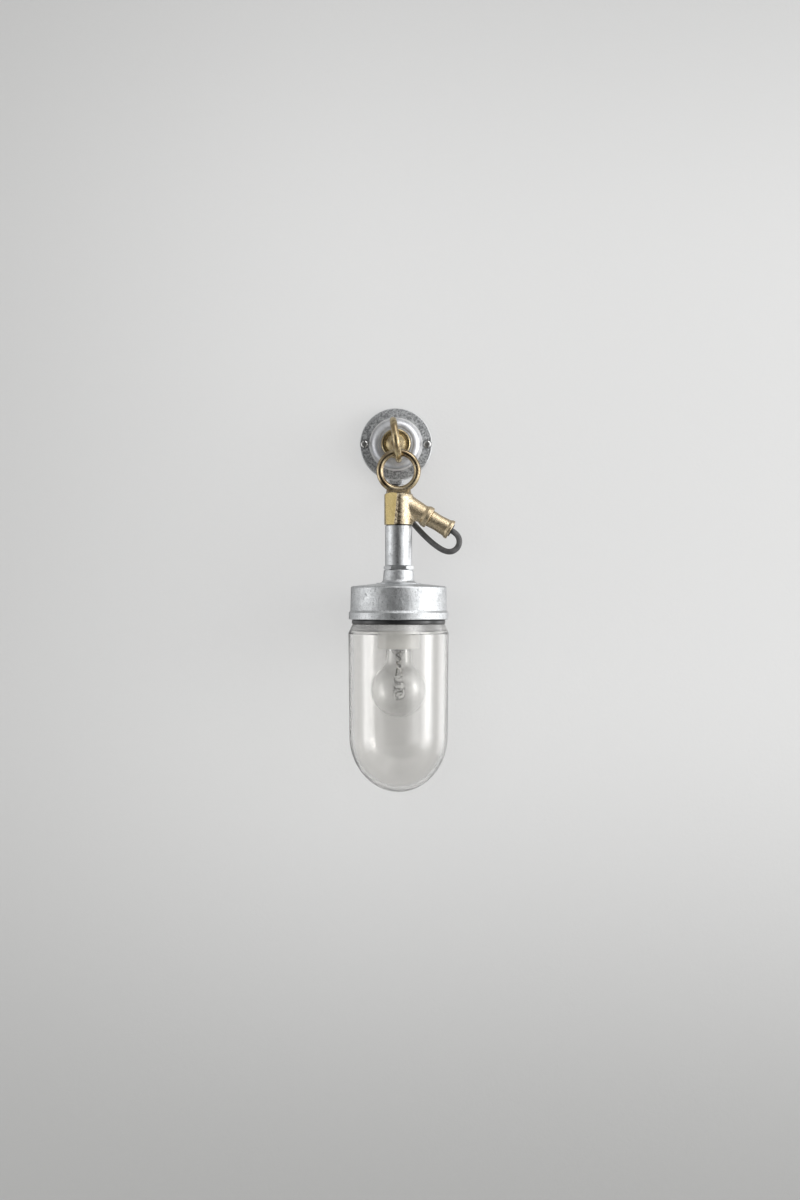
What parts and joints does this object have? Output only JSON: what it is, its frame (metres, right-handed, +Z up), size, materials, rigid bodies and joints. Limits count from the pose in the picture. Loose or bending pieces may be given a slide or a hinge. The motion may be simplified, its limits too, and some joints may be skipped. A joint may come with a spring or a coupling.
{
  "type": "well glass wall light",
  "caption": "Well glass wall light: galvanised wall plate with brass eye, ring-hung brass body with side gland, pipe and cap over a clear glass well with its bulb.",
  "frame": {"origin": "centre of the wall plate's back face, in the plane of the wall", "axes": "+Z up, +Y into the wall and -Y out to the room, +X to the right for someone who faces the wall"},
  "size_m": [0.114, 0.1333, 0.3889],
  "materials": {
    "galvanised_casting": "hot-dip galvanised, matt grey with spangle",
    "galvanised_steel": "galvanised, dull grey",
    "zinc_plated_steel": "zinc plated",
    "aged_brass": "aged casting brass, speckled",
    "bright_brass": "plain brass",
    "black_rubber": "matt black rubber",
    "flex_rubber": "dark grey rubber sheath",
    "clear_glass": "clear moulded glass",
    "bulb_clear_glass": "thin clear glass",
    "white_porcelain": "glazed porcelain",
    "pale_nylon": "natural nylon",
    "cap_alloy": "bright pressed shell",
    "dark_vitrite": "black glass insulator",
    "tungsten": "dull grey wire"
  },
  "bodies": {
    "wall_side": {"wall_plate": "galvanised_casting", "wall_screws": "zinc_plated_steel", "hook_eye": "aged_brass", "eye_washer": "zinc_plated_steel", "eye_nut": "zinc_plated_steel", "terminal_block": "pale_nylon", "terminal_tubes": "bright_brass", "terminal_screws": "zinc_plated_steel", "plate_earth_screw": "bright_brass", "entry_bush": "black_rubber", "plate_lead": "flex_rubber"},
    "flex_top": {"flex_upper": "flex_rubber"},
    "flex_centre": {"flex_middle": "flex_rubber"},
    "lamp": {"flex_lower": "flex_rubber", "suspension_body": "aged_brass", "gland_nut": "aged_brass", "gland_washer": "bright_brass", "gland_seal": "black_rubber", "lamp_lead": "flex_rubber", "stem_pipe": "galvanised_steel", "hex_locknut": "galvanised_steel", "cap": "galvanised_casting", "cap_earth_screw": "bright_brass", "holder_body": "white_porcelain", "holder_shell": "bright_brass", "holder_contact": "bright_brass", "holder_terminals": "bright_brass", "holder_screws": "zinc_plated_steel"},
    "glass_gasket": {"gasket": "black_rubber"},
    "glass": {"well_glass": "clear_glass"},
    "bulb_tip": {"bulb_contact": "zinc_plated_steel"},
    "bulb": {"bulb_glass": "bulb_clear_glass", "bulb_cap": "cap_alloy", "bulb_insulator": "dark_vitrite", "bulb_stem": "bulb_clear_glass", "support_wires": "tungsten", "halogen_capsule": "bulb_clear_glass", "filament": "tungsten"}
  },
  "joints": [
    {"name": "sway", "type": "hinge", "parent": "wall_side", "child": "flex_top", "pos_m": [0.00275, -0.057, -0.01956], "axis": [0, 1, 0], "range_deg": [-30, 30], "deforming": ["flex_upper", "flex_middle", "flex_lower"]},
    {"name": "swing_out", "type": "hinge", "parent": "flex_top", "child": "flex_centre", "pos_m": [0.00275, -0.057, -0.01231], "axis": [-1, 0, 0], "range_deg": [-1.2, 40], "deforming": ["flex_upper", "flex_middle", "flex_lower"]},
    {"name": "twist", "type": "hinge", "parent": "flex_centre", "child": "lamp", "pos_m": [0.00275, -0.057, -0.01231], "axis": [0, 0, 1], "range_deg": [-15, 15], "deforming": ["flex_upper", "flex_middle", "flex_lower"]},
    {"name": "glass_drop", "type": "slide", "parent": "lamp", "child": "glass_gasket", "axis": [0, 0, -1], "range_m": [0, 0.012]},
    {"name": "glass_turn", "type": "hinge", "parent": "glass_gasket", "child": "glass", "pos_m": [0.00275, -0.057, -0.18441], "axis": [0, 0, -1], "range_deg": [0, 720]},
    {"name": "bulb_drop", "type": "slide", "parent": "lamp", "child": "bulb_tip", "axis": [0, 0, -1], "range_m": [0, 0.0146]},
    {"name": "bulb_turn", "type": "hinge", "parent": "bulb_tip", "child": "bulb", "pos_m": [0.00275, -0.057, -0.18201], "axis": [0, 0, -1], "range_deg": [0, 1440]}
  ],
  "couplings": [
    {"joint": "glass_drop", "follows": "glass_turn", "m_per_rad": 0.0009549},
    {"joint": "bulb_drop", "follows": "bulb_turn", "m_per_rad": 0.00057757}
  ]
}
